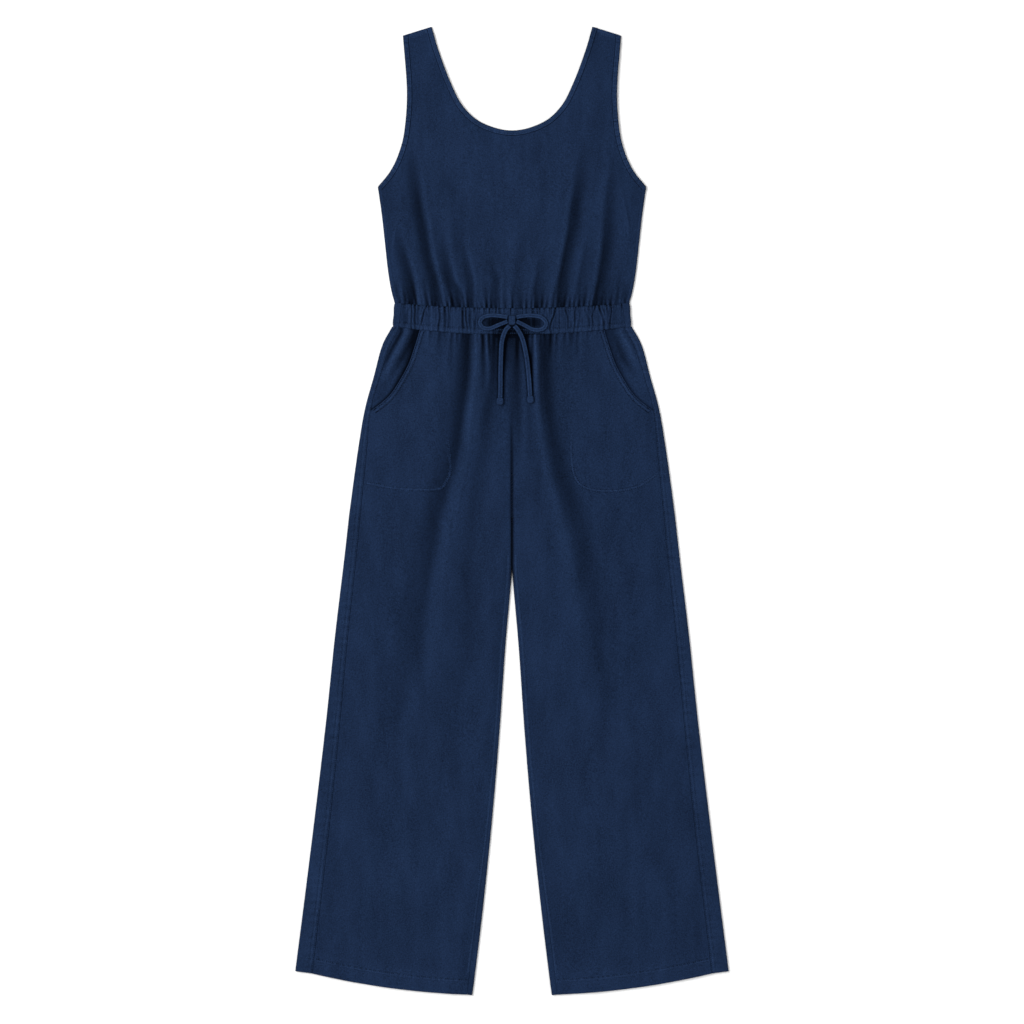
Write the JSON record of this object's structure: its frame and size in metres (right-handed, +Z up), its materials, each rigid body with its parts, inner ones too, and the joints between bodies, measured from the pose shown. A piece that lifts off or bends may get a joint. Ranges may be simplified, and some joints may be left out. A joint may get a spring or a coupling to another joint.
{
  "type": "wide-leg jumpsuit",
  "caption": "Sleeveless scoop-neck wide-leg jumpsuit with an elasticated drawstring waist and scoop pockets, lying flat, front up.",
  "frame": {"origin": "middle of the outline of the garment, on the surface that its back lies on", "axes": "+Y from hem to shoulders, +Z up out of the front, +X towards the wearer's left"},
  "size_m": [0.6492, 1.4517, 0.016],
  "materials": {
    "cloth": "matt navy crepe weave",
    "binding": "the same cloth, folded and topstitched",
    "waistband": "the same cloth, gathered on elastic",
    "drawstring": "narrow flat tie of the same cloth"
  },
  "bodies": {
    "root": {"bodice_front": "cloth", "bodice_back": "cloth", "neck_binding": "binding", "armhole_binding_left": "binding", "armhole_binding_right": "binding", "waistband_front": "waistband", "waistband_back": "waistband", "leg_front_left": "cloth", "leg_front_right": "cloth", "leg_back_left": "cloth", "leg_back_right": "cloth", "pocket_facing_left": "cloth", "pocket_facing_right": "cloth", "drawstring_loop_left": "drawstring", "drawstring_loop_right": "drawstring", "drawstring_tail_left": "drawstring", "drawstring_tail_right": "drawstring", "drawstring_tip_left": "drawstring", "drawstring_tip_right": "drawstring", "drawstring_knot": "drawstring"}
  },
  "joints": []
}
